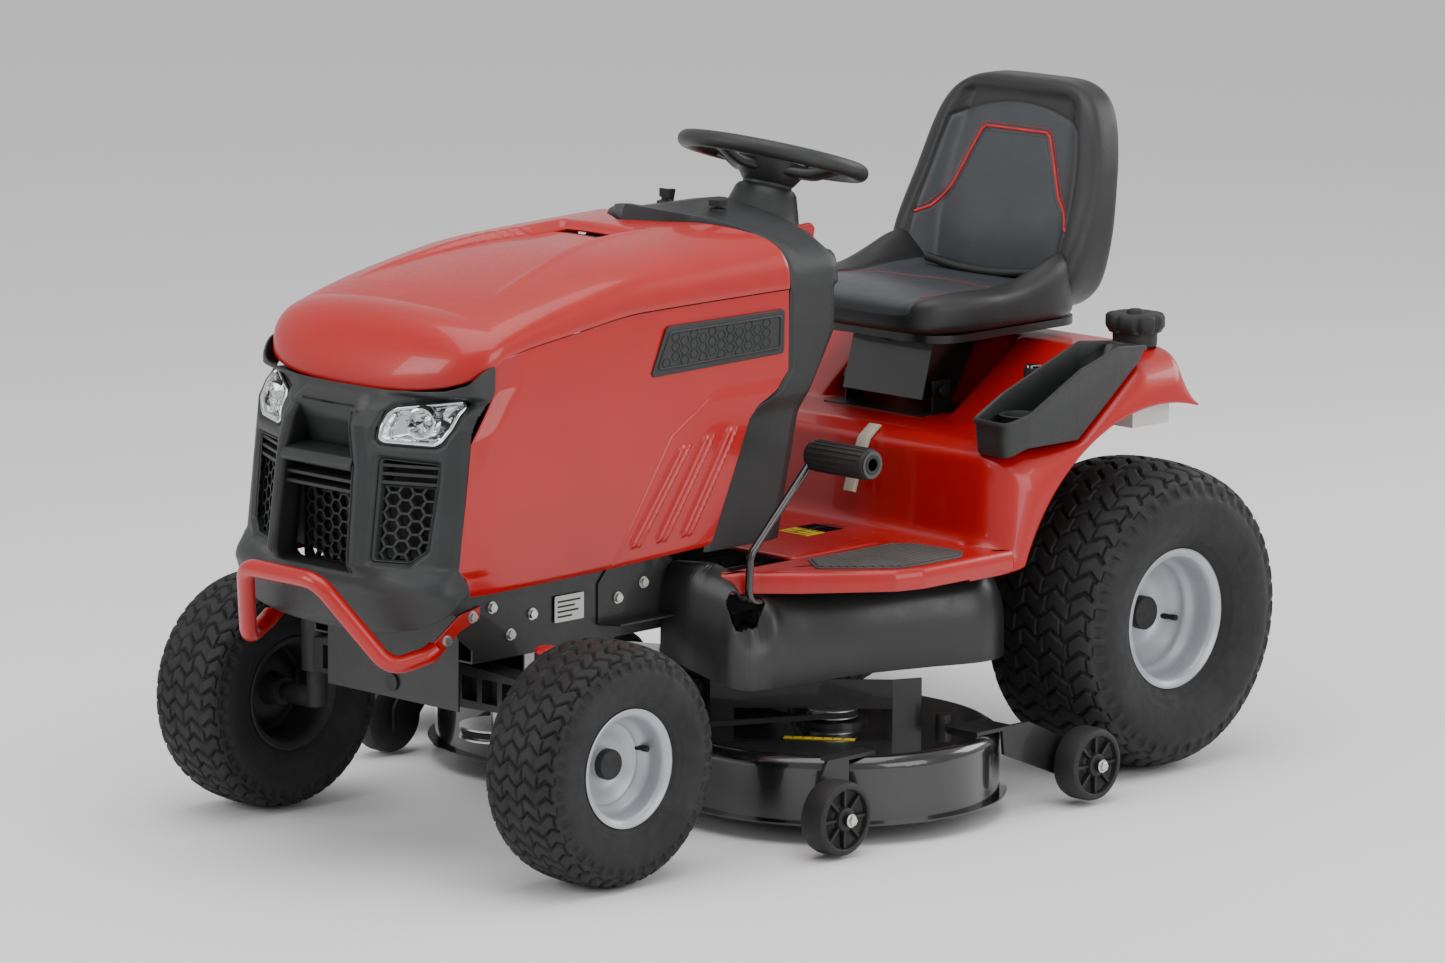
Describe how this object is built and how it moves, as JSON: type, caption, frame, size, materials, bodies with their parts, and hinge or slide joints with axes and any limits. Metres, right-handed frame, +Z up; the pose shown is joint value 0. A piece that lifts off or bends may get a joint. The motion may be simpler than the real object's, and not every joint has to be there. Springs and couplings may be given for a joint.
{
  "type": "riding lawn mower",
  "caption": "Ride-on lawn tractor with tilting hood, steered front wheels, padded seat, red fenders and footrests, front bumper and a wide mid-mounted mowing deck.",
  "frame": {"origin": "on the ground plane under the middle of the wheelbase, on the centre plane", "axes": "+Z up, -Y towards the front of the mower, +X towards the operator's left"},
  "size_m": [1.3025, 1.826, 1.102],
  "materials": {
    "red_paint": "glossy paint",
    "red_plastic": "gloss",
    "dark_plastic": "satin moulded",
    "black_paint": "gloss black paint",
    "frame_black": "satin black powder coat",
    "cast_black": "painted casting",
    "rim_silver": "silver paint",
    "tyre": "matte rubber",
    "rubber": "matte",
    "vinyl": "grained vinyl",
    "lens": "clear",
    "zinc": "zinc plated",
    "steel": "satin",
    "engine_alu": "cast",
    "white_plastic": "moulded"
  },
  "bodies": {
    "chassis": {"frame_rails": "frame_black", "frame_plates": "frame_black", "bumper": "red_paint", "engine_block": "engine_alu", "blower_housing": "dark_plastic", "transaxle": "engine_alu", "drive_belt": "rubber", "dash_console": "dark_plastic", "fender_deck": "red_paint", "foot_mats": "rubber", "fuel_tank": "white_plastic", "storage_tray": "dark_plastic", "battery": "dark_plastic", "lower_guards": "dark_plastic", "fasteners": "zinc"},
    "axle": {"front_axle_beam": "cast_black"},
    "spindle_l": {"spindle_left": "cast_black"},
    "spindle_r": {"spindle_right": "cast_black"},
    "tie": {"tie_rod": "frame_black"},
    "drag": {"drag_link": "zinc"},
    "sector": {"steering_sector": "steel"},
    "steering": {"steering_wheel": "dark_plastic"},
    "wheel_fl": {"front_tyre_left": "tyre", "front_rim_left": "rim_silver"},
    "wheel_fr": {"front_tyre_right": "tyre", "front_rim_right": "rim_silver"},
    "wheel_rl": {"rear_tyre_left": "tyre", "rear_rim_left": "rim_silver"},
    "wheel_rr": {"rear_tyre_right": "tyre", "rear_rim_right": "rim_silver"},
    "hood": {"hood_top": "red_paint", "hood_sides": "red_paint", "grille": "dark_plastic", "grille_mesh": "dark_plastic", "headlights": "lens", "hood_badges": "dark_plastic"},
    "crank": {"engine_pulley": "steel"},
    "input_pulley": {"transaxle_pulley": "steel"},
    "seat_frame": {"seat_bracket": "frame_black"},
    "seat": {"seat_pan": "frame_black", "seat_cushion": "vinyl", "seat_backrest": "vinyl"},
    "cap": {"fuel_cap": "dark_plastic"},
    "brake": {"brake_pedal": "rubber"},
    "treadle": {"drive_pedal": "frame_black"},
    "lift": {"lift_lever": "frame_black"},
    "cruise": {"cruise_lever": "red_plastic"},
    "throttle": {"throttle_lever": "dark_plastic"},
    "key": {"ignition_key": "zinc"},
    "pto": {"pto_knob": "dark_plastic"},
    "deck": {"deck_shell": "black_paint", "deck_brackets": "frame_black", "deck_belt": "rubber"},
    "blade_l": {"blade_left": "steel"},
    "blade_r": {"blade_right": "steel"},
    "chute": {"chute_deflector": "dark_plastic"},
    "gauge_fl": {"gauge_wheel_front_left": "dark_plastic"},
    "gauge_fr": {"gauge_wheel_front_right": "dark_plastic"},
    "gauge_rl": {"gauge_wheel_rear_left": "dark_plastic"},
    "gauge_rr": {"gauge_wheel_rear_right": "dark_plastic"}
  },
  "joints": [
    {"name": "steering_turn", "type": "hinge", "parent": "chassis", "child": "steering", "pos_m": [0, 0.15, 1.022], "axis": [0, 0.2756, 0.9613], "range_deg": [-180, 180]},
    {"name": "sector_turn", "type": "hinge", "parent": "chassis", "child": "sector", "pos_m": [0, -0.08182, 0.49109], "axis": [0, 0.2756, 0.9613], "range_deg": [-34.4, 34.4]},
    {"name": "axle_tilt", "type": "hinge", "parent": "chassis", "child": "axle", "pos_m": [0, -0.62, 0.27], "axis": [0, 1, 0], "range_deg": [-5, 5]},
    {"name": "steer_left", "type": "hinge", "parent": "axle", "child": "spindle_l", "pos_m": [0.262, -0.62, 0.281], "axis": [0, 0, 1], "range_deg": [-34.4, 34.4]},
    {"name": "steer_right", "type": "hinge", "parent": "axle", "child": "spindle_r", "pos_m": [-0.262, -0.62, 0.281], "axis": [0, 0, 1], "range_deg": [-34.4, 34.4]},
    {"name": "tie_rod_left", "type": "hinge", "parent": "spindle_l", "child": "tie", "pos_m": [0.262, -0.52, 0.25], "axis": [0, 0, 1], "range_deg": [-34.4, 34.4]},
    {"name": "drag_link_front", "type": "hinge", "parent": "spindle_l", "child": "drag", "pos_m": [0.172, -0.62, 0.203], "axis": [0, 0, 1], "range_deg": [-34.4, 34.4]},
    {"name": "front_wheel_left_spin", "type": "hinge", "parent": "spindle_l", "child": "wheel_fl", "pos_m": [0.38, -0.62, 0.1905], "axis": [1, 0, 0], "continuous": true},
    {"name": "front_wheel_right_spin", "type": "hinge", "parent": "spindle_r", "child": "wheel_fr", "pos_m": [-0.38, -0.62, 0.1905], "axis": [1, 0, 0], "continuous": true},
    {"name": "rear_wheel_left_spin", "type": "hinge", "parent": "chassis", "child": "wheel_rl", "pos_m": [0.385, 0.62, 0.257], "axis": [1, 0, 0], "continuous": true},
    {"name": "rear_wheel_right_spin", "type": "hinge", "parent": "chassis", "child": "wheel_rr", "pos_m": [-0.385, 0.62, 0.257], "axis": [1, 0, 0], "continuous": true},
    {"name": "hood_tilt", "type": "hinge", "parent": "chassis", "child": "hood", "pos_m": [0, -0.78, 0.44], "axis": [1, 0, 0], "range_deg": [0, 34]},
    {"name": "crank_spin", "type": "hinge", "parent": "chassis", "child": "crank", "pos_m": [0, -0.47, 0.3], "axis": [0, 0, 1], "continuous": true},
    {"name": "input_pulley_spin", "type": "hinge", "parent": "chassis", "child": "input_pulley", "pos_m": [0, 0.62, 0.352], "axis": [0, 0, 1], "continuous": true},
    {"name": "seat_tilt", "type": "hinge", "parent": "chassis", "child": "seat_frame", "pos_m": [0, 0.455, 0.612], "axis": [1, 0, 0], "range_deg": [0, 38]},
    {"name": "seat_slide", "type": "slide", "parent": "seat_frame", "child": "seat", "axis": [0, 1, 0], "range_m": [-0.05, 0.05]},
    {"name": "fuel_cap_turn", "type": "hinge", "parent": "chassis", "child": "cap", "pos_m": [0.34, 0.668, 0.72], "axis": [0, 0, 1], "range_deg": [0, 110]},
    {"name": "brake_press", "type": "hinge", "parent": "chassis", "child": "brake", "pos_m": [0.295, -0.06, 0.345], "axis": [1, 0, 0], "range_deg": [0, 18], "stiffness_Nm_per_rad": 30, "springref_deg": -5.73},
    {"name": "drive_treadle", "type": "hinge", "parent": "chassis", "child": "treadle", "pos_m": [-0.318, 0.02, 0.45], "axis": [1, 0, 0], "range_deg": [-12, 12], "stiffness_Nm_per_rad": 20},
    {"name": "deck_lift", "type": "slide", "parent": "chassis", "child": "deck", "axis": [0, 0, 1], "range_m": [0, 0.06], "deforming": ["deck_belt"]},
    {"name": "lift_lever_pull", "type": "hinge", "parent": "chassis", "child": "lift", "pos_m": [-0.25, 0.33, 0.44], "axis": [1, 0, 0], "range_deg": [-30.1, 0]},
    {"name": "cruise_lever_pull", "type": "hinge", "parent": "chassis", "child": "cruise", "pos_m": [0.11, 0.06, 0.81], "axis": [1, 0, 0], "range_deg": [-14, 0]},
    {"name": "throttle_move", "type": "hinge", "parent": "chassis", "child": "throttle", "pos_m": [-0.11, 0.02, 0.9], "axis": [1, 0, 0], "range_deg": [-16, 16]},
    {"name": "key_turn", "type": "hinge", "parent": "chassis", "child": "key", "pos_m": [-0.06, -0.04, 0.97], "axis": [0, 0, 1], "range_deg": [-90, 0]},
    {"name": "pto_pull", "type": "slide", "parent": "chassis", "child": "pto", "axis": [0, 0, 1], "range_m": [0, 0.012]},
    {"name": "blade_left_spin", "type": "hinge", "parent": "deck", "child": "blade_l", "pos_m": [0.268, 0.02, 0.1], "axis": [0, 0, 1], "continuous": true},
    {"name": "blade_right_spin", "type": "hinge", "parent": "deck", "child": "blade_r", "pos_m": [-0.268, 0.02, 0.1], "axis": [0, 0, 1], "continuous": true},
    {"name": "chute_lift", "type": "hinge", "parent": "deck", "child": "chute", "pos_m": [-0.552, -0.01, 0.149], "axis": [0, 1, 0], "range_deg": [0, 80]},
    {"name": "gauge_front_left_spin", "type": "hinge", "parent": "deck", "child": "gauge_fl", "pos_m": [0.515, -0.232, 0.064], "axis": [1, 0, 0], "continuous": true},
    {"name": "gauge_front_right_spin", "type": "hinge", "parent": "deck", "child": "gauge_fr", "pos_m": [-0.515, -0.232, 0.064], "axis": [1, 0, 0], "continuous": true},
    {"name": "gauge_rear_left_spin", "type": "hinge", "parent": "deck", "child": "gauge_rl", "pos_m": [0.541, 0.335, 0.067], "axis": [1, 0, 0], "continuous": true},
    {"name": "gauge_rear_right_spin", "type": "hinge", "parent": "deck", "child": "gauge_rr", "pos_m": [-0.541, 0.335, 0.067], "axis": [1, 0, 0], "continuous": true}
  ],
  "couplings": [
    {"joint": "sector_turn", "follows": "steering_turn", "ratio": 0.19048},
    {"joint": "steer_left", "follows": "steering_turn", "ratio": 0.19048},
    {"joint": "steer_right", "follows": "steering_turn", "ratio": 0.19048},
    {"joint": "tie_rod_left", "follows": "steering_turn", "ratio": -0.19048},
    {"joint": "drag_link_front", "follows": "steering_turn", "ratio": -0.19048},
    {"joint": "input_pulley_spin", "follows": "crank_spin", "ratio": 0.83333},
    {"joint": "blade_left_spin", "follows": "crank_spin", "ratio": 1.4706},
    {"joint": "blade_right_spin", "follows": "crank_spin", "ratio": 1.4706},
    {"joint": "lift_lever_pull", "follows": "deck_lift", "rad_per_m": -8.7266}
  ]
}
